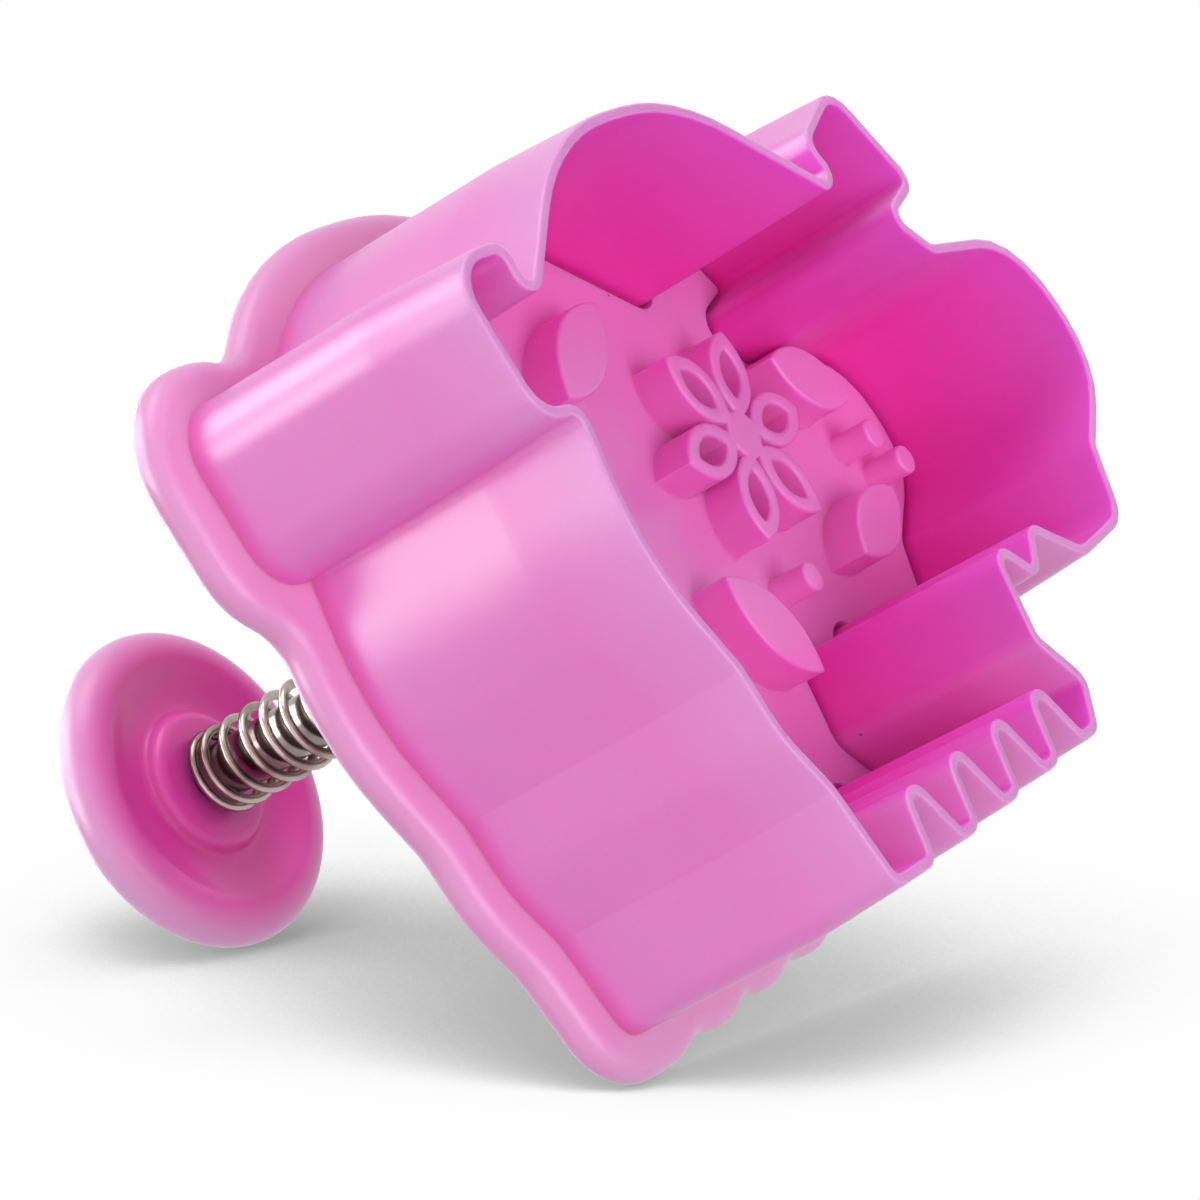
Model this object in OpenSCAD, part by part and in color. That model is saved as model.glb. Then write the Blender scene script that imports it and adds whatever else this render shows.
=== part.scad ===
// Spring-loaded plunger cookie cutter with a lobed and pleated outline.
// Z is the plunger's axis. The cutting edge stands on Z = 0 and the knob is on top.

/* [Cutter outline] */
// Reach of the large lobe from the plunger's axis
lobe_reach = 38.6; // [35:0.1:43]
// Reach of the small left lobe from the plunger's axis
left_reach = 36; // [32.5:0.1:40]
// Reach of the dome from the plunger's axis
dome_reach = 25.4; // [23:0.1:28.4]
// Reach of the pleated hem from the plunger's axis
hem_y = 28.2; // [27:0.1:31.5]

/* [Cutter wall] */
// Height of the wall from the cutting edge to the flange
wall_h = 23.3; // [20:0.1:32]
// Thickness of the wall at the cutting edge
edge_t = 0.8; // [0.5:0.1:1.2]
// Height of the bevel above the cutting edge
bevel_h = 8; // [4:0.5:14]
// Widening of the outline over the bevel, as a ratio
bevel_flare = 0.015; // [0.005:0.005:0.02]
// Widening of the outline above the bevel, as a ratio
wall_flare = 0.01; // [0:0.005:0.015]
// Thickening of the wall over the bevel
bevel_swell = 0.35; // [0.3:0.05:0.4]
// Thickening of the wall above the bevel
wall_swell = 0.25; // [0.2:0.05:0.35]
// Number of pleats along the hem
pleat_count = 4; // [3:1:4]
// Distance from one pleat to the next
pleat_pitch = 7.1; // [6.5:0.1:7.4]
// Depth of a pleat's fold
pleat_depth = 5.8; // [4:0.1:6.5]
// Width of a fold at its mouth
pleat_mouth = 4.4; // [4:0.1:4.8]

/* [Flange] */
// Thickness of the flange and the back plate
flange_t = 2.7; // [2:0.1:4]
// How far the flange stands out of the wall
flange_out = 3; // [2.4:0.1:4.5]
// Rounding of the flange's rim
flange_round = 0.6; // [0.3:0.1:0.9]
// Smallest radius of a hollow in the flange's outline
flange_hollow_r = 3; // [2:0.5:5]
// Smallest radius of an outward corner in the flange's outline
flange_corner_r = 6; // [5:0.5:6.5]

/* [Stamp] */
// Depth of the stamp's face inside the cutter, measured from the cutting edge
stamp_depth = 18; // [14:0.5:19]
// Thickness of the stamp plate
stamp_t = 2.5; // [2:0.1:3]
// Height of the raised motifs
relief_h = 3.5; // [2:0.5:7]
// Thickness of the motifs' line work
relief_line = 1.1; // [0.8:0.1:1.4]
// Diameter of the boss on the back of the stamp
stamp_boss_d = 9; // [8:0.5:14]

/* [Plunger] */
// Diameter of the stem
stem_d = 4.5; // [3.5:0.1:5]
// Depth of the stem in the knob and in the stamp
stem_grip = 3.6; // [2.5:0.1:4]
// Diameter of the knob
knob_d = 26.4; // [22:0.2:34]
// Radius of the knob's rounded rim
knob_rim_r = 2.3; // [1.4:0.1:2.6]
// Rise of the knob's crown above its rim
knob_crown = 2.2; // [1:0.1:4]
// Diameter of the spring seat under the knob
knob_seat_d = 11.7; // [9:0.1:14]
// Height of the spring seat, measured from the middle of the rim
knob_seat_h = 2.5; // [2.3:0.1:4]
// Depth of the hollow between the seat and the rim
knob_hollow = 0.9; // [0.3:0.1:1.2]

/* [Return spring] */
// Installed length of the spring
spring_len = 39; // [34:0.5:44]
// Outer diameter of the spring
spring_d = 7.2; // [6.6:0.1:8]
// Diameter of the wire
wire_d = 0.8; // [0.6:0.05:0.9]
// Number of open curls
spring_curls = 15; // [12:1:18]
// Number of close curls at each end
end_curls = 1.5; // [1:0.5:2]
// Distance between close curls, from middle to middle of the wire
end_pitch = 1.3; // [1.2:0.05:1.5]
// Height of the collar around the spring's foot
collar_h = 1.6; // [1:0.1:3]
// Wall of that collar
collar_t = 1.5; // [1:0.1:2.5]

/* [Fits] */
// Gap between the stamp and the wall it slides in
stamp_gap = 0.4; // [0.3:0.05:0.6]
// Gap between the stem and its guide hole
guide_gap = 0.25; // [0.1:0.05:0.4]
// Gap of the bonded sockets that hold the stem
socket_gap = 0.03; // [0.02:0.01:0.1]
// Gap left where a piece rests against its stop or seat
seat_gap = 0.1; // [0.05:0.05:0.3]
// Gap between the spring and the collar around its foot
collar_gap = 0.5; // [0.3:0.1:1]

/* [Hidden] */
$fn = 48;

pink = [0.93, 0.44, 0.75];
steel = [0.72, 0.71, 0.70];

// Heights along the plunger's axis
back_z = wall_h + flange_t;
seat_z = back_z + spring_len;
rim_z = seat_z + knob_seat_h;
stamp_back_z = stamp_depth + stamp_t;
boss_top_z = wall_h - seat_gap;
stem_low_z = boss_top_z - stem_grip;
stem_high_z = seat_z + stem_grip;

// Radii of the sliding and seated pieces
stem_r = stem_d / 2;
guide_r = stem_r + guide_gap;
socket_r = stem_r + socket_gap;
stem_chamfer = 0.4;
collar_in_r = spring_d / 2 + collar_gap;
collar_out_r = collar_in_r + collar_t;

// Corner radii: sharp folds of the wall, and its smallest outward corners
fold_r = 0.8;
corner_r = edge_t + stamp_gap + 0.2;
// Largest turn between two points of an arc, in degrees, and their largest distance
arc_step = 18;
arc_chord = 2.2;
// Overlap of joined pieces of one moulding
weld = 0.2;

// Middle of the first pleat
first_pleat_x = 3.4;
// Share of the mouth on the side that comes first, and the lean of the fold
mouth_share = 0.55;
fold_lean = 0.6;

function pleat(i) =
    let (x = first_pleat_x - i * pleat_pitch)
    [
        [x + mouth_share * pleat_mouth, hem_y, corner_r],
        [x - fold_lean, hem_y - pleat_depth, fold_r],
        [x - (1 - mouth_share) * pleat_mouth, hem_y, corner_r]
    ];

// Reaches to the left, right, dome and hem that the corners below are drawn with
drawn_reaches = [36, 38.6, 25.4, 28.2];

// A drawn corner, with each side of the drawing stretched to its own reach
function fitted(c) = [
    c[0] * (c[0] < 0 ? left_reach / drawn_reaches[0] : lobe_reach / drawn_reaches[1]),
    c[1] * (c[1] < 0 ? dome_reach / drawn_reaches[2] : hem_y / drawn_reaches[3]),
    c[2]
];

// Corners from the dome round to the hem, anticlockwise, each with its rounding radius
right_corners = concat(
    // Dome between the two small lobes
    [[-29.4, -15.4, fold_r], [-17, -25.4, 20], [-0.5, -25.2, 22], [15.5, -14, fold_r]],
    // Small right lobe
    [[13.4, -18.8, 2], [21.5, -22, 2.8], [26.3, -12.6, corner_r + 0.2]],
    [[20.6, -11, fold_r], [23.6, -8, 1.5]],
    // Large right lobe, then the small lobe beside it
    [[37, -6, 8.4], [38.6, 6, 7.6], [31.2, 11.2, fold_r], [29, 17, 3], [20.5, 17.6, 3]],
    // Two folds that step back to the hem
    [[15, 14, fold_r], [12.4, 17.2, corner_r], [8.6, 13.6, fold_r], [7.6, 20.2, 1.2]],
    [[11, 24.6, corner_r + 0.2], [8.6, 28.2, corner_r]]
);

// Corners from the hem back to the dome
left_corners = concat(
    // Gently scalloped side wall
    [[-25.8, 27.9, corner_r + 0.2], [-27.2, 20.4, 1.2], [-29.3, 15.8, 8]],
    [[-29.7, 10.9, 1.2], [-33, 2, 18]],
    // Small left lobe
    [[-31, -7.8, fold_r], [-35.2, -8.2, 3]],
    [[-36, -19.8, 3.6], [-28.5, -19.7, corner_r + 0.2]]
);

// The whole cutting edge, with the pleats in the hem
corners = concat(
    [for (c = right_corners) fitted(c)],
    [for (i = [0 : pleat_count - 1]) each pleat(i)],
    [for (c = left_corners) fitted(c)]
);

function heading(a, b) = atan2(b[1] - a[1], b[0] - a[0]);
function wrap(angle) = angle > 180 ? angle - 360 : angle < -180 ? angle + 360 : angle;

// Points of the arc that rounds corner c between its neighbours a and b, each with the way it heads
function rounded(a, c, b) =
    let (
        start_way = heading(a, c),
        bend = wrap(heading(c, b) - start_way),
        side = sign(bend),
        r = c[2],
        start = [c[0], c[1]] - r * tan(abs(bend) / 2) * [cos(start_way), sin(start_way)],
        middle = start + side * r * [-sin(start_way), cos(start_way)],
        arc_len = r * abs(bend) * PI / 180,
        steps = max(2, ceil(abs(bend) / arc_step), ceil(arc_len / arc_chord))
    )
    [
        for (k = [0 : steps])
            let (way = start_way + bend * k / steps)
            concat(middle + side * r * [sin(way), -cos(way)], [way])
    ];

corner_count = len(corners);
outline = [
    for (i = [0 : corner_count - 1])
        let (
            before = corners[(i + corner_count - 1) % corner_count],
            after = corners[(i + 1) % corner_count]
        )
        each rounded(before, corners[i], after)
];
outline_count = len(outline);

// The outline widened by a ratio and then moved outwards by a distance
function loop(ratio, out) = [for (p = outline) ratio * [p[0], p[1]] + out * [sin(p[2]), -cos(p[2])]];
function ring(ratio, out, z) = [for (p = loop(ratio, out)) [p[0], p[1], z]];

root_ratio = 1 + bevel_flare + wall_flare;
root_out = bevel_swell + wall_swell;

// Triangles between neighbouring rings of count points; with closed, the last ring joins the first
function skin(rings, count, closed) = [
    for (k = [0 : rings - (closed ? 1 : 2)], i = [0 : count - 1])
        let (
            j = (i + 1) % count,
            low = k * count,
            high = (k + 1) % rings * count
        )
        each [[low + i, high + i, high + j], [low + i, high + j, low + j]]
];

module wall() {
    top_z = wall_h + flange_t / 2;
    rings = [
        ring(1, 0, 0),
        ring(1 + bevel_flare, bevel_swell, bevel_h),
        ring(root_ratio, root_out, top_z),
        ring(1, -edge_t, top_z),
        ring(1, -edge_t, 0)
    ];
    polyhedron([for (r = rings) each r], skin(len(rings), outline_count, true));
}

module flange_outline(inset, $fn = 36) {
    offset(r = flange_corner_r - inset)
        offset(r = -flange_corner_r - flange_hollow_r)
            offset(r = flange_out + flange_hollow_r)
                polygon(loop(root_ratio, root_out));
}

// Back plate and flange in one, with its rim stepped back above and below
module back_plate() {
    translate([0, 0, wall_h])
        linear_extrude(flange_t)
            flange_outline(flange_round);
    translate([0, 0, wall_h + flange_round])
        linear_extrude(flange_t - 2 * flange_round)
            flange_outline(0);
}

// The wall and its back plate are one moulding, back_z high
module moulding() {
    resize([0, 0, back_z]) {
        wall();
        back_plate();
    }
}

module cutter_shell() {
    color(pink)
        difference() {
            union() {
                moulding();
                translate([0, 0, back_z - weld])
                    difference() {
                        cylinder(r = collar_out_r, h = collar_h + weld);
                        translate([0, 0, weld])
                            cylinder(r = collar_in_r, h = collar_h + weld);
                    }
            }
            translate([0, 0, wall_h - flange_t])
                cylinder(r = guide_r, h = 3 * flange_t);
        }
}

// A pointed leaf along X
module leaf(length, width) {
    r = (length * length + width * width) / (4 * width);
    intersection() {
        translate([0, width / 2 - r])
            circle(r);
        translate([0, r - width / 2])
            circle(r);
    }
}

module leaf_line(length, width) {
    difference() {
        leaf(length, width);
        leaf(length - 3 * relief_line, width - 2 * relief_line);
    }
}

// Middle of the blossom, and how far its petals reach
blossom_x = 11;
blossom_y = -2.5;
petal_count = 6;
petal_len = 7.4;
petal_w = 4.4;
blossom_eye_r = 2;

module blossom() {
    circle(blossom_eye_r);
    for (i = [0 : petal_count - 1])
        rotate(i * 360 / petal_count)
            translate([blossom_eye_r - relief_line / 2 + petal_len / 2, 0])
                leaf_line(petal_len, petal_w);
}

// Leaves and berries around the blossom: place, turn and size
leaves = [[24, -4, 35, 9.5, 5], [22.5, 8, -20, 9.5, 5], [1.5, 10.5, 60, 11, 5], [-3, -13, -30, 11, 5]];
berries = [[28.5, 2], [31, 5], [9.5, 9], [-12, 3], [-15, 8], [-15, -6]];
berry_r = 1.2;

module motifs() {
    translate([blossom_x, blossom_y])
        blossom();
    for (l = leaves)
        translate([l[0], l[1]])
            rotate(l[2])
                leaf(l[3], l[4]);
    for (b = berries)
        translate(b)
            circle(berry_r);
}

module stamp_plate() {
    color(pink)
        difference() {
            union() {
                translate([0, 0, stamp_depth])
                    linear_extrude(stamp_t)
                        polygon(loop(1, -edge_t - stamp_gap));
                translate([0, 0, stamp_depth - relief_h])
                    linear_extrude(relief_h + weld)
                        motifs();
                translate([0, 0, stamp_back_z - weld])
                    cylinder(d = stamp_boss_d, h = boss_top_z - stamp_back_z + weld);
            }
            translate([0, 0, stem_low_z - seat_gap])
                cylinder(r = socket_r, h = wall_h);
        }
}

module stem_rod() {
    length = stem_high_z - stem_low_z;
    color(steel)
        translate([0, 0, stem_low_z]) {
            translate([0, 0, stem_chamfer])
                cylinder(r = stem_r, h = length - 2 * stem_chamfer);
            cylinder(r1 = stem_r - stem_chamfer, r2 = stem_r, h = stem_chamfer);
            translate([0, 0, length - stem_chamfer])
                cylinder(r1 = stem_r, r2 = stem_r - stem_chamfer, h = stem_chamfer);
        }
}

// Half of the knob's section, with the middle of its rim on Y = 0
module knob_section() {
    rim_x = knob_d / 2 - knob_rim_r;
    crown_r = (rim_x * rim_x + knob_crown * knob_crown) / (2 * knob_crown);
    seat_r = knob_seat_d / 2;
    seat_round = 0.7;
    translate([rim_x, 0])
        circle(knob_rim_r);
    translate([0, knob_hollow - knob_rim_r])
        square([rim_x, 2 * knob_rim_r - knob_hollow]);
    intersection() {
        translate([0, knob_rim_r + knob_crown - crown_r])
            circle(crown_r, $fn = 160);
        square([rim_x, knob_rim_r + knob_crown]);
    }
    translate([0, -knob_seat_h])
        square([seat_r - seat_round, knob_seat_h]);
    translate([0, seat_round - knob_seat_h])
        square([seat_r, knob_seat_h - seat_round]);
    translate([seat_r - seat_round, seat_round - knob_seat_h])
        circle(seat_round);
}

module push_knob() {
    color(pink)
        translate([0, 0, rim_z])
            difference() {
                rotate_extrude($fn = 96)
                    knob_section();
                translate([0, 0, -2 * knob_seat_h])
                    cylinder(r = socket_r, h = knob_seat_h + stem_grip + seat_gap);
            }
}

// The spring's wire runs up a helix whose curls lie close at both ends
wire_sides = 6;
rings_per_curl = 8;
spring_r = (spring_d - wire_d) / 2;
total_curls = spring_curls + 2 * end_curls;
spring_low_z = back_z + seat_gap + wire_d / 2;
spring_rise = spring_len - 2 * seat_gap - wire_d;
open_pitch = (spring_rise - 2 * end_curls * end_pitch) / spring_curls;
ring_count = total_curls * rings_per_curl + 1;

function wire_z(t) =
    t < end_curls ? t * end_pitch
    : t < end_curls + spring_curls ? end_curls * end_pitch + (t - end_curls) * open_pitch
    : spring_rise - (total_curls - t) * end_pitch;

function wire_ring(k) =
    let (
        t = k / rings_per_curl,
        out = [cos(360 * t), sin(360 * t), 0]
    )
    [
        for (s = [0 : wire_sides - 1])
            let (a = -360 * s / wire_sides)
            (spring_r + wire_d / 2 * cos(a)) * out + [0, 0, spring_low_z + wire_z(t) + wire_d / 2 * sin(a)]
    ];

module return_spring() {
    rings = [for (k = [0 : ring_count - 1]) wire_ring(k)];
    last = (ring_count - 1) * wire_sides;
    color(steel)
        polyhedron(
            [for (r = rings) each r],
            concat(
                skin(ring_count, wire_sides, false),
                [for (s = [1 : wire_sides - 2]) [0, s, s + 1]],
                [for (s = [1 : wire_sides - 2]) [last, last + s + 1, last + s]]
            )
        );
}

// Least gap of the wire to itself, measured between points of the helix one curl apart
curl_gaps = [
    for (k = [0 : ring_count - 1 - rings_per_curl])
        wire_z(k / rings_per_curl + 1) - wire_z(k / rings_per_curl) - wire_d
];
echo(spring_least_gap = min(curl_gaps));

cutter_shell();
stamp_plate();
stem_rod();
push_knob();
return_spring();
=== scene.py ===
# %% [markdown]
# # A plunger cookie cutter
#
# The cutter is a small kitchen tool: a pink moulded wall with a wavy cutting edge, a stamp that slides
# inside it, and a sprung steel rod with a push knob. The frame holds the exact solids. This lesson gives
# each of them its finished surface, with rounded rims, soft edges and real plastic and steel.

# %% Load the frame
import math

import bmesh
import bpy
from mathutils import Matrix, Vector


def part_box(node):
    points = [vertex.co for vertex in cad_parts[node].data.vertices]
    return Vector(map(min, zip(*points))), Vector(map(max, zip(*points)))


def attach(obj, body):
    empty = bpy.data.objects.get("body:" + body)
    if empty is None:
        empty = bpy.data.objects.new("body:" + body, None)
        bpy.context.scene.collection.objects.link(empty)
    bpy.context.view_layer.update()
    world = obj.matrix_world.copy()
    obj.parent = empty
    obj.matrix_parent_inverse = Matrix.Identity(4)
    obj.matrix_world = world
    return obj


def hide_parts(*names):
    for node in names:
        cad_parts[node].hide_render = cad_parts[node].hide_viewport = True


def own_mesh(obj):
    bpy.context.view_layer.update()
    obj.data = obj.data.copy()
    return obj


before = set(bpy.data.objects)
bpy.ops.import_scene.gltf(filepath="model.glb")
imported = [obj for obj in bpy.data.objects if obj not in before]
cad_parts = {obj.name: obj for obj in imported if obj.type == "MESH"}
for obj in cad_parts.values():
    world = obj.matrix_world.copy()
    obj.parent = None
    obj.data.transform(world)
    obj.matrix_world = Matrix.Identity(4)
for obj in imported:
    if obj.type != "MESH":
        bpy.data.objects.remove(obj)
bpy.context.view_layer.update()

MM = 0.001
print("nodes:", sorted(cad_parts))

# %% [markdown]
# ## Hand tools
#
# Every piece below is shaped as it would be by hand: pick some edges or faces, then extrude, scale, bevel
# or fill them. In a script the picking is done by place instead of by mouse, so these small helpers wrap
# the two things that repeat: going into edit mode with one piece, and picking its parts by a test.

# %% Selection helpers
def only(*pieces):
    """Selects these pieces alone, with the first one active."""
    bpy.ops.object.select_all(action="DESELECT")
    for piece in pieces:
        piece.select_set(True)
    bpy.context.view_layer.objects.active = pieces[0]


def edit(piece):
    """Goes into edit mode with one piece."""
    only(piece)
    bpy.ops.object.mode_set(mode="EDIT")


def done():
    """Goes back to object mode."""
    bpy.ops.object.mode_set(mode="OBJECT")


def pick(piece, kind, test):
    """Selects the verts, edges or faces of a piece in edit mode that pass a test."""
    modes = {"verts": "VERT", "edges": "EDGE", "faces": "FACE"}
    bpy.ops.mesh.select_mode(type=modes[kind])
    bpy.ops.mesh.select_all(action="DESELECT")
    shape = bmesh.from_edit_mesh(piece.data)
    shape.normal_update()
    for part in getattr(shape, kind):
        if test(part):
            part.select_set(True)
    shape.select_flush_mode()
    bmesh.update_edit_mesh(piece.data)


def middle(edge):
    return (edge.verts[0].co + edge.verts[1].co) / 2


def level(z, slack=0.02 * MM):
    """A test for open edges that lie at one height."""
    return lambda edge: edge.is_boundary and abs(middle(edge).z - z) < slack


def open_edge(edge):
    return edge.is_boundary or edge.is_wire


FACING, UPRIGHT = 0.9, 0.2


def looks_down(face):
    return face.normal.z < -FACING


def stands_upright(face):
    return abs(face.normal.z) < UPRIGHT


print("hand tools ready")


# %% [markdown]
# The frame's nodes may not be changed, so work starts on a copy. A copied node is a heap of loose
# triangles: its doubled corners are merged before anything else is done.

# %% Copy of a node
TOUCH = 0.002 * MM


def merged_copy(node, name):
    """A copy of a node's mesh as a new piece, with its doubled corners merged."""
    piece = bpy.data.objects.new(name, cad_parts[node].data.copy())
    bpy.context.scene.collection.objects.link(piece)
    piece.data.materials.clear()
    edit(piece)
    bpy.ops.mesh.select_all(action="SELECT")
    bpy.ops.mesh.customdata_custom_splitnormals_clear()
    bpy.ops.mesh.remove_doubles(threshold=TOUCH)
    done()
    return piece


def keep_faces(piece, test):
    """Deletes every face of a piece that fails the test."""
    edit(piece)
    pick(piece, "faces", test)
    bpy.ops.mesh.select_all(action="INVERT")
    bpy.ops.mesh.delete(type="FACE")
    done()


def grow_ring(start, stop, ratio=1.0, swell=0.0):
    """Extrudes the selected open edges from one height to another, scaled about the axis and fattened."""
    bpy.ops.mesh.extrude_edges_move(TRANSFORM_OT_translate={"value": (0, 0, stop - start)})
    if ratio != 1.0:
        bpy.ops.transform.resize(value=(ratio, ratio, 1), center_override=(0, 0, 0))
    if swell:
        bpy.ops.transform.shrink_fatten(value=swell, use_even_offset=True)
        bpy.ops.transform.resize(value=(1, 1, 0), center_override=(0, 0, stop))


def finish_mesh(piece, angle=35):
    """Merges doubles, turns the normals outwards and shades the piece smooth up to an angle."""
    edit(piece)
    bpy.ops.mesh.select_all(action="SELECT")
    bpy.ops.mesh.remove_doubles(threshold=TOUCH / 2)
    bpy.ops.mesh.normals_make_consistent(inside=False)
    done()
    only(piece)
    bpy.ops.object.shade_smooth_by_angle(angle=math.radians(angle))
    weighted = piece.modifiers.new("weighted", "WEIGHTED_NORMAL")
    weighted.keep_sharp = True
    bpy.ops.object.modifier_apply(modifier=weighted.name)
    shape = bmesh.new()
    shape.from_mesh(piece.data)
    loose = sum(len(edge.link_faces) != 2 for edge in shape.edges)
    print(piece.name, len(shape.faces), "faces,", loose, "open edges, volume",
          round(shape.calc_volume() / MM ** 3, 1), "mm3")
    shape.free()


print("corners within", TOUCH / MM, "mm are merged")

# %% [markdown]
# ## The cutting wall
#
# On the real cutter the wall is one thin moulding. It is thinnest at the edge that meets the dough, leans
# out over the first few millimetres and then runs up to the flange. The frame gives its outline at the
# edge. The two loops of that rim are kept, joined by a clean strip of quads, and drawn up ring by ring.

# %% Heights that the frame gives
shell_low, shell_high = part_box("cutter_shell")
knob_low, knob_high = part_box("push_knob")
spring_low, spring_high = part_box("return_spring")
stem_low, stem_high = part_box("stem_rod")
WALL_H = 23.3 * MM
FLANGE_T = 2.7 * MM
BACK_Z = WALL_H + FLANGE_T
BEVEL_H = 8 * MM
ROOT_Z = WALL_H + FLANGE_T / 2
BEVEL_RATIO, BEVEL_OUT = 1.015, 0.35 * MM
ROOT_RATIO, ROOT_OUT = 1.025, 0.6 * MM
FLANGE_ROUND = 0.6 * MM
PRESS = 18 * MM
STEM_R = (stem_high.x - stem_low.x) / 2
GLUE_GAP = 0.03 * MM
SOCKET_R = STEM_R + GLUE_GAP
FLAT = 0.01 * MM
print("shell", [round(v / MM, 2) for v in shell_high - shell_low], "mm")


# %% The rim's two loops
body = merged_copy("cutter_shell", "cutter_body")
keep_faces(body, lambda f: looks_down(f) and f.calc_center_median().z < FLAT)
edit(body)
bpy.ops.mesh.select_all(action="SELECT")
bpy.ops.mesh.region_to_loop()
bpy.ops.mesh.select_all(action="INVERT")
bpy.ops.mesh.delete(type="EDGE")
bpy.ops.mesh.select_all(action="SELECT")
bpy.ops.mesh.bridge_edge_loops()
done()
print("rim:", len(body.data.vertices), "points,", len(body.data.polygons), "quads")


# %% Which loop is which
def loops_of(piece):
    """The open loops of a piece as sets of vertex indices, the widest first."""
    shape = bmesh.new()
    shape.from_mesh(piece.data)
    left = {e for e in shape.edges if open_edge(e)}
    loops = []
    while left:
        todo, loop = [left.pop()], set()
        while todo:
            edge = todo.pop()
            for vert in edge.verts:
                loop.add(vert.index)
                near = [e for e in vert.link_edges if e in left]
                left.difference_update(near)
                todo.extend(near)
        loops.append(loop)
    return sorted(loops, key=lambda loop: max(piece.data.vertices[i].co.x for i in loop), reverse=True)


def pick_loop(piece, loop):
    pick(piece, "edges", lambda e: open_edge(e) and all(v.index in loop for v in e.verts))


outer_rim, inner_rim = loops_of(body)
print("outer loop", len(outer_rim), "inner loop", len(inner_rim))

# %% [markdown]
# The outer face leans out in two slopes that meet in a soft knee. Each ring below is one extrusion: up by
# a step, wider by a ratio and thicker by a little. Rings stand close together at the knee and under the
# flange, because smooth shading would otherwise spread those bends over the whole wall.

# %% Outer face, ring by ring
EDGE_RING, KNEE, ROOT_RING = 0.35 * MM, 0.5 * MM, 1 * MM
FILLET = 0.16 * MM
FILLET_RISE = 0.7 * FILLET


def wall_at(z):
    """Ratio and thickening of the outer face at a height."""
    if z <= BEVEL_H:
        share = z / BEVEL_H
        return 1 + (BEVEL_RATIO - 1) * share, BEVEL_OUT * share
    share = (z - BEVEL_H) / (ROOT_Z - BEVEL_H)
    return BEVEL_RATIO + (ROOT_RATIO - BEVEL_RATIO) * share, BEVEL_OUT + (ROOT_OUT - BEVEL_OUT) * share


rings = [EDGE_RING, BEVEL_H - KNEE, BEVEL_H, BEVEL_H + KNEE, WALL_H - ROOT_RING, WALL_H - FILLET]
edit(body)
pick_loop(body, outer_rim)
z, ratio, out = 0.0, 1.0, 0.0
for next_z in rings:
    next_ratio, next_out = wall_at(next_z)
    grow_ring(z, next_z, next_ratio / ratio, next_out - out)
    z, ratio, out = next_z, next_ratio, next_out
grow_ring(z, z + FILLET_RISE, swell=FILLET - FILLET_RISE)
grow_ring(z + FILLET_RISE, WALL_H, swell=FILLET_RISE)
done()
print("outer wall to", round(max(v.co.z for v in body.data.vertices) / MM, 2), "mm")

# %% Inner face
edit(body)
pick_loop(body, inner_rim)
grow_ring(0, EDGE_RING)
grow_ring(EDGE_RING, WALL_H)
done()
print("wall:", len(body.data.polygons), "faces")

# %% [markdown]
# ## The flange
#
# The flange is the thick lip that fingers hold, and its rim is a full soft round. One loop of the frame's
# side strip gives its outline. Very short edges would spoil an inset, so points that nearly touch are
# merged first. The loop is then filled, and the face is inset and raised in small steps along an arc.

# %% Outline and rim tools
def outline_of(node, name, test, height, merge):
    """The loop of a node's strip of faces at one height, as a piece that holds only edges."""
    piece = merged_copy(node, name)
    keep_faces(piece, test)
    edit(piece)
    pick(piece, "edges", level(height))
    bpy.ops.mesh.select_all(action="INVERT")
    bpy.ops.mesh.delete(type="EDGE")
    bpy.ops.mesh.select_all(action="SELECT")
    bpy.ops.mesh.remove_doubles(threshold=merge)
    done()
    return piece


def inset_arc(round_r, steps, flip=1):
    """Insets the selected faces and pushes them out along a quarter of a circle."""
    angles = [math.pi / 2 * k / steps for k in range(steps + 1)]
    for low, high in zip(angles, angles[1:]):
        inward = round_r * (math.cos(low) - math.cos(high))
        outward = round_r * (math.sin(high) - math.sin(low))
        bpy.ops.mesh.inset(thickness=inward, depth=outward * flip, use_even_offset=True)


def slab_rim(piece, low_z, high_z, round_r, steps, shelf):
    """Turns an outline into the rounded rim of a slab, with a narrow flat shelf, open above and below."""
    mid_z = (low_z + high_z) / 2
    edit(piece)
    bpy.ops.mesh.select_all(action="SELECT")
    bpy.ops.transform.resize(value=(1, 1, 0), center_override=(0, 0, mid_z))
    bpy.ops.mesh.edge_face_add()
    done()
    flip = 1 if piece.data.polygons[0].normal.z > 0 else -1
    edit(piece)
    bpy.ops.mesh.select_mode(type="FACE")
    bpy.ops.mesh.select_all(action="SELECT")
    bpy.ops.mesh.extrude_region_move(TRANSFORM_OT_translate={"value": (0, 0, high_z - mid_z - round_r)})
    inset_arc(round_r, steps, flip)
    bpy.ops.mesh.inset(thickness=shelf, depth=0, use_even_offset=True)
    pick(piece, "faces", lambda f: len(f.verts) > 4)
    bpy.ops.mesh.delete(type="ONLY_FACE")
    bpy.ops.mesh.select_all(action="SELECT")
    bpy.ops.mesh.duplicate()
    bpy.ops.transform.resize(value=(1, 1, -1), center_override=(0, 0, mid_z))
    bpy.ops.mesh.select_all(action="SELECT")
    bpy.ops.mesh.remove_doubles(threshold=TOUCH)
    done()


# %% Flange rim
FLANGE_MERGE = 0.3 * MM
FLANGE_RIM = FLANGE_T / 2 - 0.12 * MM
FLANGE_STEPS = 7
FLANGE_SHELF = 0.2 * MM
MIDDLE_R = 10 * MM


def on_flange_strip(face):
    spot = face.calc_center_median()
    inside = WALL_H + FLANGE_ROUND < spot.z < BACK_Z - FLANGE_ROUND
    return inside and stands_upright(face) and spot.xy.length > MIDDLE_R


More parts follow.
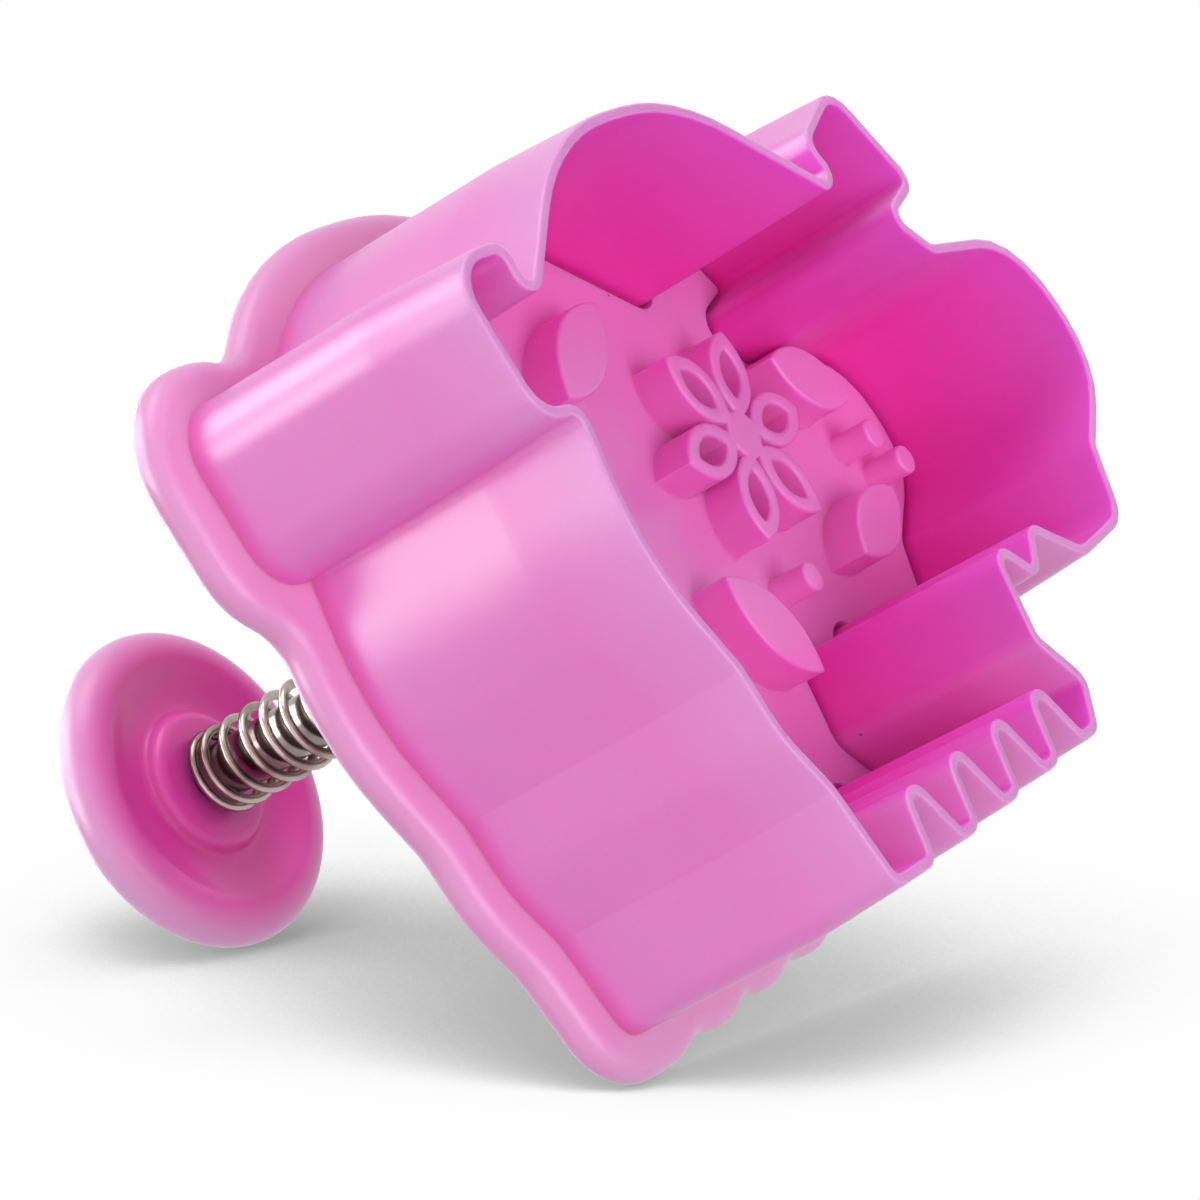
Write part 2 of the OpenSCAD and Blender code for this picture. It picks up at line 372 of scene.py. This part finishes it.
flange = outline_of("cutter_shell", "flange_work", on_flange_strip, WALL_H + FLANGE_ROUND, FLANGE_MERGE)
slab_rim(flange, WALL_H, BACK_Z, FLANGE_RIM, FLANGE_STEPS, FLANGE_SHELF)
print("flange rim:", len(flange.data.polygons), "faces")

# %% [markdown]
# ## Collar and guide hole
#
# The spring's foot stands in a low collar on the back, and the rod slides through a hole in its middle.
# A circle is drawn up, over and down again, as on a lathe, so that the wall of the hole is part of it.

# %% A lathe of extruded rings
def lathe(name, profile, sides=64):
    """Draws a circle through (radius, height) points, ring by ring."""
    (radius, height), rest = profile[0], profile[1:]
    bpy.ops.object.select_all(action="DESELECT")
    bpy.ops.mesh.primitive_circle_add(vertices=sides, radius=radius, location=(0, 0, height))
    piece = bpy.context.object
    piece.name = name
    bpy.ops.object.transform_apply(location=True, rotation=True, scale=True)
    edit(piece)
    bpy.ops.mesh.select_all(action="SELECT")
    for next_radius, next_height in rest:
        grow_ring(height, next_height, next_radius / radius)
        radius, height = next_radius, next_height
    done()
    return piece


def arc(radius, height, round_r, start, stop, steps):
    """Points of an arc around (radius, height), with its angles in degrees from the outward direction."""
    turns = [math.radians(start + (stop - start) * k / steps) for k in range(steps + 1)]
    return [(radius + round_r * math.cos(t), height + round_r * math.sin(t)) for t in turns]


def cap(piece, height):
    """Closes the open ring at a height with a fan of triangles."""
    edit(piece)
    pick(piece, "edges", level(height))
    bpy.ops.mesh.extrude_edges_move(TRANSFORM_OT_translate={"value": (0, 0, 0)})
    bpy.ops.mesh.merge(type="CENTER")
    done()


# %% Collar on the back plate
SPRING_GAP, COLLAR_T, GUIDE_GAP = 0.5 * MM, 1.5 * MM, 0.25 * MM
COLLAR_IN = spring_high.x + SPRING_GAP
COLLAR_OUT = COLLAR_IN + COLLAR_T
COLLAR_TOP = shell_high.z
COLLAR_ROUND = 0.35 * MM
COLLAR_FOOT = 0.3 * MM
FOOT_BEND = 0.09 * MM
GUIDE_R = STEM_R + GUIDE_GAP
GUIDE_LEAD = 0.15 * MM
foot = [
    (COLLAR_OUT + COLLAR_FOOT, BACK_Z),
    (COLLAR_OUT + FOOT_BEND, BACK_Z + FOOT_BEND),
    (COLLAR_OUT, BACK_Z + COLLAR_FOOT),
]
guide = [
    (COLLAR_IN, BACK_Z),
    (GUIDE_R + GUIDE_LEAD, BACK_Z),
    (GUIDE_R, BACK_Z - GUIDE_LEAD),
    (GUIDE_R, WALL_H),
]
collar = lathe(
    "collar_work",
    foot
    + arc(COLLAR_OUT - COLLAR_ROUND, COLLAR_TOP - COLLAR_ROUND, COLLAR_ROUND, 0, 90, 4)
    + arc(COLLAR_IN + COLLAR_ROUND, COLLAR_TOP - COLLAR_ROUND, COLLAR_ROUND, 90, 180, 4)
    + guide,
)
print("collar:", len(collar.data.polygons), "faces")

# %% [markdown]
# The three works are joined, and three flat faces close them: the flange's underside outside the wall, the
# ceiling inside it, and the back. Each lies between two loops at one height, so Fill can triangulate it.

# %% Join and close the shell
only(body, flange, collar)
bpy.ops.object.join()
edit(body)
pick(body, "edges", level(BACK_Z))
bpy.ops.mesh.fill(use_beauty=True)
done()
under = [loop for loop in loops_of(body) if len(loop) > 3]
edit(body)
for pair in (under[:2], under[2:]):
    wanted = set().union(*pair)
    pick_loop(body, wanted)
    bpy.ops.mesh.fill(use_beauty=True)
done()
print("shell closed")

# %% [markdown]
# The cutting edge is sharp but not a razor: both corners of the rim get a narrow bevel that catches light.

# %% Soft cutting edge
EDGE_BEVEL = 0.16 * MM
SHARP = 1
edit(body)
pick(body, "edges", lambda e: middle(e).z < FLAT and not e.is_boundary and e.calc_face_angle(0) > SHARP)
bpy.ops.mesh.bevel(offset=EDGE_BEVEL, segments=3, affect="EDGES")
done()
finish_mesh(body)
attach(body, "shell")
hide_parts("cutter_shell")

# %% [markdown]
# ## The stamp
#
# The stamp is a plate with raised motifs. From the frame come its outline and the motifs' walls and tips.
# Moulded plastic has no crisp corners: the tips are rounded by insets, the motifs' feet spread a little,
# and the plate's rim is rounded as the flange's was.

# %% Raised motifs
STAMP_Z = PRESS
TIP_ROUND, TIP_STEPS = 0.3 * MM, 4
FOOT = 0.25 * MM
FOOT_RISE = 0.7 * FOOT
MOTIF_MERGE, FOOT_SLACK = 0.05 * MM, 0.3 * MM
motifs = merged_copy("stamp_plate", "motif_work")
keep_faces(motifs, lambda f: f.calc_center_median().z < STAMP_Z - FLAT)
edit(motifs)
bpy.ops.mesh.select_all(action="SELECT")
bpy.ops.mesh.remove_doubles(threshold=MOTIF_MERGE)
pick(motifs, "faces", looks_down)
bpy.ops.transform.translate(value=(0, 0, TIP_ROUND))
inset_arc(TIP_ROUND, TIP_STEPS)
pick(motifs, "edges", level(STAMP_Z, FOOT_SLACK))
bpy.ops.transform.resize(value=(1, 1, 0), center_override=(0, 0, STAMP_Z - FOOT))
grow_ring(STAMP_Z - FOOT, STAMP_Z - FOOT + FOOT_RISE, swell=FOOT - FOOT_RISE)
grow_ring(STAMP_Z - FOOT + FOOT_RISE, STAMP_Z, swell=FOOT_RISE)
done()
print("motifs:", len(motifs.data.polygons), "faces")

# %% Plate and boss
STAMP_T = 2.5 * MM
STAMP_BACK = STAMP_Z + STAMP_T
PLATE_MERGE, PLATE_ROUND, PLATE_SHELF = 0.1 * MM, 0.12 * MM, 0.05 * MM
SEAT_GAP = 0.1 * MM
BOSS_TOP = WALL_H - SEAT_GAP
BOSS_R, BOSS_CLEAR = 4.5 * MM, 8 * MM
BOSS_ROUND = 0.3 * MM
SOCKET_LOW = stem_low.z - SEAT_GAP
SOCKET_LEAD = 0.2 * MM


def on_plate_strip(face):
    spot = face.calc_center_median()
    return STAMP_Z < spot.z < STAMP_BACK and stands_upright(face) and spot.xy.length > BOSS_CLEAR


stamp = outline_of("stamp_plate", "stamp_face", on_plate_strip, STAMP_Z, PLATE_MERGE)
slab_rim(stamp, STAMP_Z, STAMP_BACK, PLATE_ROUND, 3, PLATE_SHELF)
boss = lathe(
    "boss_work",
    [(BOSS_R + BOSS_ROUND, STAMP_BACK), (BOSS_R, STAMP_BACK + BOSS_ROUND)]
    + arc(BOSS_R - BOSS_ROUND, BOSS_TOP - BOSS_ROUND, BOSS_ROUND, 0, 90, 3)
    + [(SOCKET_R + SOCKET_LEAD, BOSS_TOP), (SOCKET_R, BOSS_TOP - SOCKET_LEAD), (SOCKET_R, SOCKET_LOW)],
)
cap(boss, SOCKET_LOW)
only(stamp, motifs, boss)
bpy.ops.object.join()
edit(stamp)
for height in (STAMP_Z, STAMP_BACK):
    pick(stamp, "edges", level(height))
    bpy.ops.mesh.fill(use_beauty=True)
done()
finish_mesh(stamp)
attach(stamp, "plunger")
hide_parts("stamp_plate")

# %% [markdown]
# ## Knob and rod
#
# Both are turned shapes. The knob's section runs from the middle of its crown over the round rim, under
# the dished face and up the spring's seat into the socket that holds the rod.

# %% Push knob
SEAT_Z = knob_low.z
TOP_Z = knob_high.z
KNOB_RIM_R = 2.3 * MM
RIM_X = (knob_high.x - knob_low.x) / 2 - KNOB_RIM_R
SEAT_H, DISH_H = 2.5 * MM, 1.0 * MM
RIM_Z = SEAT_Z + SEAT_H
DISH_Z = RIM_Z - DISH_H
SEAT_R = 5.85 * MM
SEAT_ROUND, SEAT_FOOT = 1.0 * MM, 0.7 * MM
SOCKET_TOP = stem_high.z + SEAT_GAP
KNOB_SIDES = 96
CROWN_TURN, DISH_TURN = 68, -112
CROWN_SHARES = (0.04, 0.15, 0.3, 0.45, 0.6, 0.75, 0.9)
DISH_SHARES = (0.15, 0.3, 0.45, 0.6, 0.75, 0.9)

crown_edge = arc(RIM_X, RIM_Z, KNOB_RIM_R, CROWN_TURN, CROWN_TURN, 1)[0]
crown = [(crown_edge[0] * t, TOP_Z - (TOP_Z - crown_edge[1]) * t ** 2) for t in CROWN_SHARES]
underside = arc(RIM_X, RIM_Z, KNOB_RIM_R, CROWN_TURN, DISH_TURN, 16)
dish_x, dish_z = underside[-1]
dish = [
    (dish_x + (SEAT_R + SEAT_FOOT - dish_x) * t, dish_z + (DISH_Z - dish_z) * (1 - (1 - t) ** 2))
    for t in DISH_SHARES
]
shoulder = arc(SEAT_R + SEAT_FOOT, DISH_Z - SEAT_FOOT, SEAT_FOOT, 90, 165, 5)
knob = lathe(
    "knob",
    crown
    + underside
    + dish
    + shoulder
    + arc(SEAT_R - SEAT_ROUND, SEAT_Z + SEAT_ROUND, SEAT_ROUND, -10, -90, 5)
    + [(SOCKET_R + SOCKET_LEAD, SEAT_Z), (SOCKET_R, SEAT_Z + SOCKET_LEAD), (SOCKET_R, SOCKET_TOP)],
    KNOB_SIDES,
)
cap(knob, crown[0][1])
cap(knob, SOCKET_TOP)
finish_mesh(knob)
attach(knob, "plunger")
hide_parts("push_knob")

# %% Stem
END_ROUND = 0.4 * MM
STEM_SIDES = 48
stem = lathe(
    "stem",
    arc(STEM_R - END_ROUND, stem_low.z + END_ROUND, END_ROUND, -90, 0, 4)
    + arc(STEM_R - END_ROUND, stem_high.z - END_ROUND, END_ROUND, 0, 90, 4),
    STEM_SIDES,
)
cap(stem, stem_low.z)
cap(stem, stem_high.z)
finish_mesh(stem)
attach(stem, "plunger")
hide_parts("stem_rod")

# %% [markdown]
# ## The return spring
#
# A spring is a wire along a helix. Its end curls lie close together, so the height rises slowly at both
# ends and faster between them. A curve with a round bevel draws the wire and is then turned into a mesh.

# %% Spring
WIRE_R = 0.4 * MM
COIL_R = (spring_high.x - spring_low.x) / 2 - WIRE_R
OPEN_CURLS, END_CURLS = 15, 1.5
END_PITCH = 1.3 * MM
CURLS = OPEN_CURLS + 2 * END_CURLS
RISE = spring_high.z - spring_low.z - 2 * WIRE_R
OPEN_PITCH = (RISE - 2 * END_CURLS * END_PITCH) / OPEN_CURLS
POINTS_PER_CURL = 28


def wire_height(turn):
    """Height of the wire above its foot after some turns."""
    close = min(turn, END_CURLS) + max(0, turn - END_CURLS - OPEN_CURLS)
    return close * END_PITCH + min(max(turn - END_CURLS, 0), OPEN_CURLS) * OPEN_PITCH


path = bpy.data.curves.new("spring_path", "CURVE")
path.dimensions = "3D"
path.bevel_depth = WIRE_R
path.bevel_resolution = 4
path.use_fill_caps = True
helix = path.splines.new("POLY")
steps = int(CURLS * POINTS_PER_CURL)
helix.points.add(steps)
for k, point in enumerate(helix.points):
    turn = k / POINTS_PER_CURL
    angle = 2 * math.pi * turn
    height = spring_low.z + WIRE_R + wire_height(turn)
    point.co = (COIL_R * math.cos(angle), COIL_R * math.sin(angle), height, 1)
spring = bpy.data.objects.new("spring", path)
bpy.context.scene.collection.objects.link(spring)
only(spring)
bpy.ops.object.convert(target="MESH")
spring = bpy.context.object
finish_mesh(spring, 50)
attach(spring, "shell")
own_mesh(spring)
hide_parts("return_spring")

# %% [markdown]
# ## Finishes
#
# A finish is a small graph of nodes. The class below lets the graph be written as sums: a wrapped socket
# adds its own Math node whenever it meets an operator. Everything else comes from one method.

# %% Shader helpers
class Flow:
    """A socket of a finish, with arithmetic."""

    def __init__(self, finish, socket):
        self.finish = finish
        self.socket = socket

    def math(self, operation, first, second):
        return self.finish.node("Math", {"operation": operation}, {0: first, 1: second})

    def __add__(self, other):
        return self.math("ADD", self, other)

    __radd__ = __add__

    def __sub__(self, other):
        return self.math("SUBTRACT", self, other)

    def __rsub__(self, other):
        return self.math("SUBTRACT", other, self)

    def __mul__(self, other):
        return self.math("MULTIPLY", self, other)

    __rmul__ = __mul__


class Finish:
    """The nodes of a material, or of the world, and the one method that adds to them."""

    def __init__(self, owner):
        self.owner = owner
        owner.use_nodes = True
        self.tree = owner.node_tree
        self.tree.nodes.clear()

    def node(self, kind, settings=None, sockets=None):
        made = self.tree.nodes.new("ShaderNode" + kind)
        for key, value in (settings or {}).items():
            if key == "stops":
                set_stops(made.color_ramp, value)
            else:
                setattr(made, key, value)
        for key, value in (sockets or {}).items():
            target = made.inputs[key] if isinstance(key, int) else self.shown(made.inputs, key)
            if isinstance(value, Flow):
                self.tree.links.new(value.socket, target)
            else:
                target.default_value = value
        outputs = [socket for socket in made.outputs if socket.enabled]
        return Flow(self, outputs[0]) if outputs else None

    @staticmethod
    def shown(sockets, name):
        return next(socket for socket in sockets if socket.enabled and socket.name == name)

    def output(self, flow, name):
        """Another output of the node that a flow comes from."""
        return Flow(self, flow.socket.node.outputs[name])

    def mix(self, factor, first, second):
        return self.node("Mix", {"data_type": "RGBA"}, {"Factor": factor, "A": first, "B": second})

    def close(self, surface):
        self.node("OutputMaterial", None, {"Surface": surface})
        return self.owner


def set_stops(ramp, stops):
    while len(ramp.elements) < len(stops):
        ramp.elements.new(0.5)
    for element, (place, shade) in zip(ramp.elements, stops):
        element.position = place
        element.color = (shade, shade, shade, 1)


def colour(red, green, blue):
    """A colour of the screen, 0 to 255, as Blender's linear values."""
    parts = [v / 255 for v in (red, green, blue)]
    return [v / 12.92 if v < 0.04045 else ((v + 0.055) / 1.055) ** 2.4 for v in parts] + [1]


# %% [markdown]
# ### Pink plastic
#
# The plastic is dyed through and a little milky, so light spreads under its surface. Light and shade are
# also painted into its colour: thick rims are painted paler, as a painted highlight, and sides that face a
# hollow are painted deeper, as painted shade. Two masks say where that is: one measures a length, the other
# compares a face's direction with the way out of the piece. The crease under the flange gets painted shade
# too, and the thin cutting edge is painted paler, as painted light.

# %% Masks for the plastic's painted light and shade
SIDEWAYS, UPWARDS = (1, 1, 0), (0, 0, 1)


def rise(finish, place, way, low, high):
    """Rises from 0 to 1 where the place, measured along a way, goes from low to high."""
    spread = finish.node("VectorMath", {"operation": "MULTIPLY"}, {0: place, 1: way})
    reach = finish.node("VectorMath", {"operation": "LENGTH"}, {0: spread})
    return finish.node("MapRange", None, {"Value": reach, "From Min": low, "From Max": high})


def painted_shade_side(finish, place, way):
    """Rises to 1 where a face looks back along the way out of the piece; it places painted shade."""
    spread = finish.node("VectorMath", {"operation": "MULTIPLY"}, {0: place, 1: way})
    outward = finish.node("VectorMath", {"operation": "NORMALIZE"}, {0: spread})
    facing = finish.output(finish.node("NewGeometry"), "Normal")
    agree = finish.node("VectorMath", {"operation": "DOT_PRODUCT"}, {0: outward, 1: facing})
    return finish.node("MapRange", None, {"Value": agree, "From Min": 0.1, "From Max": -0.6})


print("masks for", SIDEWAYS, UPWARDS)

# %% Tints of the three mouldings, with painted light and shade
SHELL_PINKS = colour(250, 144, 222), colour(248, 132, 216)
STAMP_PINKS = colour(252, 146, 222), colour(250, 134, 216)
KNOB_PINKS = colour(248, 136, 214), colour(246, 124, 208)
# The hollow pinks are painted shade for the inside of the wall: the lighter one near the cutting edge, the
# deeper one by the stamp.
HOLLOW_SHADE_PINKS = colour(255, 100, 220), colour(254, 46, 194)
# Painted light and shade of the wall: its cutting edge is painted paler, the crease under the flange
# darker, and the flange paler.
EDGE_LIGHT_PINK, CREASE_SHADE_PINK, FLANGE_LIGHT_PINK = colour(244, 176, 228), colour(232, 84, 178), colour(238, 174, 222)
# Painted shade under the knob, and a painted highlight on its rim.
UNDER_SHADE_PINK, RIM_LIGHT_PINK = colour(240, 70, 184), colour(246, 184, 232)
HOLLOW_SHADE_START, EDGE_LIGHT_FADE = 2 * MM, 7 * MM
CREASE_LOW, CREASE_HIGH, LEDGE = WALL_H - 1.6 * MM, WALL_H - 0.1 * MM, WALL_H - 0.12 * MM
RIM_START = RIM_X - 0.5 * MM


def shell_tint(finish, place, drift):
    base = finish.mix(drift, *SHELL_PINKS)
    # Painted shade: faces that look into the hollow are painted deeper pink, more so towards the stamp.
    depth = rise(finish, place, UPWARDS, HOLLOW_SHADE_START, STAMP_Z)
    hollow_shade = finish.mix(depth, *HOLLOW_SHADE_PINKS)
    # Painted light: the wall is painted paler towards the thin cutting edge.
    edge = 1 - rise(finish, place, UPWARDS, 0, EDGE_LIGHT_FADE)
    outer = finish.mix(edge * 0.5, base, EDGE_LIGHT_PINK)
    inside = finish.mix(painted_shade_side(finish, place, SIDEWAYS) * 0.85, outer, hollow_shade)
    # Painted shade: a darker band near the wall's root under the flange.
    crease_shade = rise(finish, place, UPWARDS, CREASE_LOW, CREASE_HIGH)
    shaded = finish.mix(crease_shade * 0.55, inside, CREASE_SHADE_PINK)
    # Painted highlight: from the ledge under the flange upwards, the flange is painted paler.
    rim = rise(finish, place, UPWARDS, LEDGE, WALL_H)
    return finish.mix(rim * 0.8, shaded, FLANGE_LIGHT_PINK)


def stamp_tint(finish, place, drift):
    return finish.mix(drift, *STAMP_PINKS)


def knob_tint(finish, place, drift):
    base = finish.mix(drift, *KNOB_PINKS)
    # Painted shade: the knob's faces that look down towards the cutter are painted deeper.
    under = finish.mix(painted_shade_side(finish, place, UPWARDS) * 0.85, base, UNDER_SHADE_PINK)
    # Painted highlight: the knob's round rim is painted paler.
    rim = rise(finish, place, SIDEWAYS, RIM_START, RIM_X + KNOB_RIM_R)
    return finish.mix(rim * 0.85, under, RIM_LIGHT_PINK)


print("tints for shell, stamp and knob")

# %% [markdown]
# The finish itself: the tint drifts slightly from place to place, the gloss is uneven, and a few dark
# specks sit in the plastic, as in real mouldings.

# %% Plastic
SPECK = colour(110, 20, 70)
ALONG_WALL = (0.04, 0.04, 1)
BUMP_DEPTH = 0.05 * MM
LIGHT_DEPTH = 3 * MM


def plastic(name, tint):
    """Milky dyed plastic with the tint of one moulding."""
    finish = Finish(bpy.data.materials.new(name))
    place = finish.output(finish.node("TexCoord"), "Object")
    drift = finish.node("TexNoise", None, {"Vector": place, "Scale": 60, "Detail": 3})
    grain = finish.node("TexNoise", None, {"Vector": place, "Scale": 2600, "Detail": 2})
    shrink = finish.node("TexNoise", None, {"Vector": place, "Scale": 150, "Detail": 2})
    drawn = finish.node("VectorMath", {"operation": "MULTIPLY"}, {0: place, 1: ALONG_WALL})
    rings = finish.node("TexNoise", None, {"Vector": drawn, "Scale": 1800, "Detail": 1})
    cells = finish.node("TexVoronoi", {"feature": "F1"}, {"Vector": place, "Scale": 420})
    chance = finish.node("SeparateColor", None, {"Color": finish.output(cells, "Color")})
    near = finish.node("ValToRGB", {"stops": [(0.05, 1), (0.08, 0)]}, {"Fac": cells})
    rare = finish.node("ValToRGB", {"stops": [(0.965, 0), (0.975, 1)]}, {"Fac": chance})
    dotted = finish.mix(near * rare * 0.6, tint(finish, place, drift), SPECK)
    relief = grain + shrink * 18 + rings * 1.5
    bump = finish.node("Bump", None, {"Height": relief, "Strength": 0.08, "Distance": BUMP_DEPTH})
    return finish.close(finish.node("BsdfPrincipled", None, {
        "Base Color": dotted,
        "Roughness": 0.29 + drift * 0.08,
        "Subsurface Weight": 1,
        "Subsurface Radius": (0.6, 0.2, 0.5),
        "Subsurface Scale": LIGHT_DEPTH,
        "Normal": bump,
    }))


body.data.materials.append(plastic("shell plastic", shell_tint))
stamp.data.materials.append(plastic("stamp plastic", stamp_tint))
knob.data.materials.append(plastic("knob plastic", knob_tint))
print("plastics made")

# %% [markdown]
# ### Steel
#
# The wire and the rod are drawn steel: metal with faint streaks along the way it was drawn, and brownish
# patches in places that are painted dark reflections.

# %% Steel
# The second colour of each pair is a painted dark reflection, laid on in noise patches.
WIRE_GREY, WIRE_DARK_REFLECTION = colour(176, 164, 156), colour(112, 92, 82)
ROD_GREY, ROD_DARK_REFLECTION = colour(150, 142, 138), colour(112, 100, 94)
STREAK_DEPTH = 0.03 * MM


def steel(name, stretch, bright, dark_reflection):
    """Drawn steel whose streaks follow the stretch, with painted dark reflections in patches."""
    finish = Finish(bpy.data.materials.new(name))
    place = finish.output(finish.node("TexCoord"), "Object")
    drawn = finish.node("VectorMath", {"operation": "MULTIPLY"}, {0: place, 1: stretch})
    streak = finish.node("TexNoise", None, {"Vector": drawn, "Scale": 900, "Detail": 3})
    patch = finish.node("TexNoise", None, {"Vector": place, "Scale": 240, "Detail": 2})
    reflection_patches = finish.node("ValToRGB", {"stops": [(0.4, 0), (0.7, 1)]}, {"Fac": patch})
    bump = finish.node("Bump", None, {"Height": streak, "Strength": 0.06, "Distance": STREAK_DEPTH})
    return finish.close(finish.node("BsdfPrincipled", None, {
        "Base Color": finish.mix(reflection_patches, bright, dark_reflection),
        "Metallic": 1,
        "Roughness": 0.16 + streak * 0.12,
        "Normal": bump,
    }))


spring.data.materials.append(steel("spring steel", (1, 1, 1), WIRE_GREY, WIRE_DARK_REFLECTION))
stem.data.materials.append(steel("stem steel", (1, 1, 0.05), ROD_GREY, ROD_DARK_REFLECTION))
print("steels made")

# %% [markdown]
# ## Camera
#
# The cutter lies on its flange and knob, and the camera looks into the cutting edge from 57 degrees off
# the plunger's axis. In this frame the cutter stands upright, so the camera is turned instead.

# %% Camera
OFF_AXIS = math.radians(57)
ROLL = math.radians(29.5)
AIM = Vector((-14.2, 2.85, 16.4)) * MM
DISTANCE = 251 * MM
back = Vector((-math.sin(OFF_AXIS), 0, -math.cos(OFF_AXIS)))
across = Vector((0, 1, 0))
along = Vector((math.cos(OFF_AXIS), 0, -math.sin(OFF_AXIS)))
right = along * math.cos(ROLL) + across * math.sin(ROLL)
up = along * math.sin(ROLL) - across * math.cos(ROLL)
camera_data = bpy.data.cameras.new("camera")
camera_data.lens = 111
camera_data.sensor_width = 36
camera_data.clip_start = 10 * MM
camera = bpy.data.objects.new("camera", camera_data)
bpy.context.scene.collection.objects.link(camera)
turned = Matrix((right, up, back)).transposed().to_4x4()
camera.matrix_world = Matrix.Translation(AIM + back * DISTANCE) @ turned
bpy.context.scene.camera = camera
print("camera at", [round(v / MM, 1) for v in camera.location])

# %% [markdown]
# ## Floors
#
# Two floors are needed. The cutter stands on its edge on the level floor in the turntable views, and in
# the main view it lies on a tilted one. Both are seen by camera rays alone, so they tint nothing. Clear
# panes in front of the main camera tell them apart: a ray that has passed them all shows the tilted floor
# only, and any other ray shows the level one. Their shadow is worked out from how much of a broad light
# the object hides from each place on the floor.

# %% Floors and panes
LIE_NORMAL = Vector((0.164, -0.8639, -0.4763)).normalized()
LIE_REACH = 44.09 * MM
FLOOR_SIZE = 3
PANES, PANE_SIZE, PANE_GAP = 3, 60 * MM, 30 * MM
SHADOW_REACH = 100 * MM
SHADOW_STOPS = [(0.25, 0.3), (0.58, 0.54), (0.74, 0.96), (0.9, 1)]
UPRIGHT_WAY = Vector((0, 0, 1))


def sheet(name, size, spot, normal):
    """A flat sheet of the stage that only the camera sees."""
    bpy.ops.object.select_all(action="DESELECT")
    bpy.ops.mesh.primitive_plane_add(size=size, location=spot)
    made = bpy.context.object
    made.name = name
    made.rotation_euler = normal.to_track_quat("Z", "Y").to_euler()
    made.visible_diffuse = False
    made.visible_glossy = False
    made.visible_transmission = False
    made.visible_shadow = False
    return made


def floor_finish(name, through_pane, light):
    """A white floor with a soft shadow where the object hides a broad light."""
    finish = Finish(bpy.data.materials.new(name))
    passed = finish.output(finish.node("LightPath"), "Transparent Depth")
    seen = finish.node("Math", {"operation": "GREATER_THAN"}, {0: passed, 1: PANES - 0.5})
    towards = finish.node("CombineXYZ", None, {0: light.x, 1: light.y, 2: light.z})
    open_sky = finish.node("AmbientOcclusion", None, {"Distance": SHADOW_REACH, "Normal": towards})
    bright = finish.output(open_sky, "AO")
    shade = finish.node("ValToRGB", {"stops": SHADOW_STOPS}, {"Fac": bright})
    white = finish.node("Emission", None, {"Color": shade})
    clear = finish.node("BsdfTransparent")
    shown = seen if through_pane else 1 - seen
    return finish.close(finish.node("MixShader", None, {0: shown, 1: clear, 2: white}))


level_floor = sheet("level_floor", FLOOR_SIZE, (0, 0, 0), UPRIGHT_WAY)
level_floor.data.materials.append(floor_finish("level floor", False, UPRIGHT_WAY))
tilted_floor = sheet("tilted_floor", FLOOR_SIZE, -LIE_NORMAL * LIE_REACH, LIE_NORMAL)
tilted_floor.data.materials.append(floor_finish("tilted floor", True, up * 0.6 + back * 0.8))
glass = Finish(bpy.data.materials.new("clear pane"))
clear_pane = glass.close(glass.node("BsdfTransparent"))
for k in range(PANES):
    pane = sheet(f"camera_pane_{k}", PANE_SIZE, AIM + back * (DISTANCE - PANE_GAP - k * MM), back)
    pane.data.materials.append(clear_pane)
print("floors and panes made")

# %% [markdown]
# ## Light
#
# A soft key comes from above in the main view, with broad suns from the front and the side, and a top sun
# serves the turntable views. The three sheens show in gloss alone: they draw the streaks on the wall and
# the bright line on the rims. The world fills the shadows, and is plain white to the camera and in gloss.

# %% Suns
def sun(name, towards, strength, softness, mirror_only=False):
    """A sun in a direction, with its spread in degrees."""
    data = bpy.data.lights.new(name, "SUN")
    data.energy = strength
    data.angle = math.radians(softness)
    lamp = bpy.data.objects.new(name, data)
    lamp.rotation_euler = towards.to_track_quat("Z", "Y").to_euler()
    lamp.visible_diffuse = not mirror_only
    bpy.context.scene.collection.objects.link(lamp)


sun("key", up * 1.0 + back * 0.1 - right * 0.25, 1.15, 40)
sun("front", back * 0.7 + right * 0.6 + up * 0.05, 1.3, 40)
sun("side", back * 0.75 - right * 0.6 - up * 0.1, 1.05, 100)
sun("sheen", up * 0.38 - back * 0.05 - right * 0.92, 0.8, 24, True)
sun("low sheen", back * 0.35 - up * 0.14 - right * 0.92, 1.2, 24, True)
sun("rim sheen", up * 0.25 - right * 0.97, 3.5, 60, True)
sun("top", Vector((0.25, -0.35, 0.9)), 1.7, 45)
print("suns made")

# %% World
FILL = 0.25
studio = Finish(bpy.data.worlds.new("studio"))
rays = studio.node("LightPath")
camera_ray = studio.output(rays, "Is Camera Ray")
mirror_ray = studio.output(rays, "Is Glossy Ray") + studio.output(rays, "Is Transmission Ray")
shows = studio.node("Math", {"operation": "ADD", "use_clamp": True}, {0: camera_ray, 1: mirror_ray})
white = studio.node("Background", None, {"Color": (1, 1, 1, 1), "Strength": FILL + shows * (1 - FILL)})
studio.node("OutputWorld", None, {"Surface": white})
bpy.context.scene.world = studio.owner
bpy.context.scene.view_settings.view_transform = "Standard"
print("world made, fill", FILL)
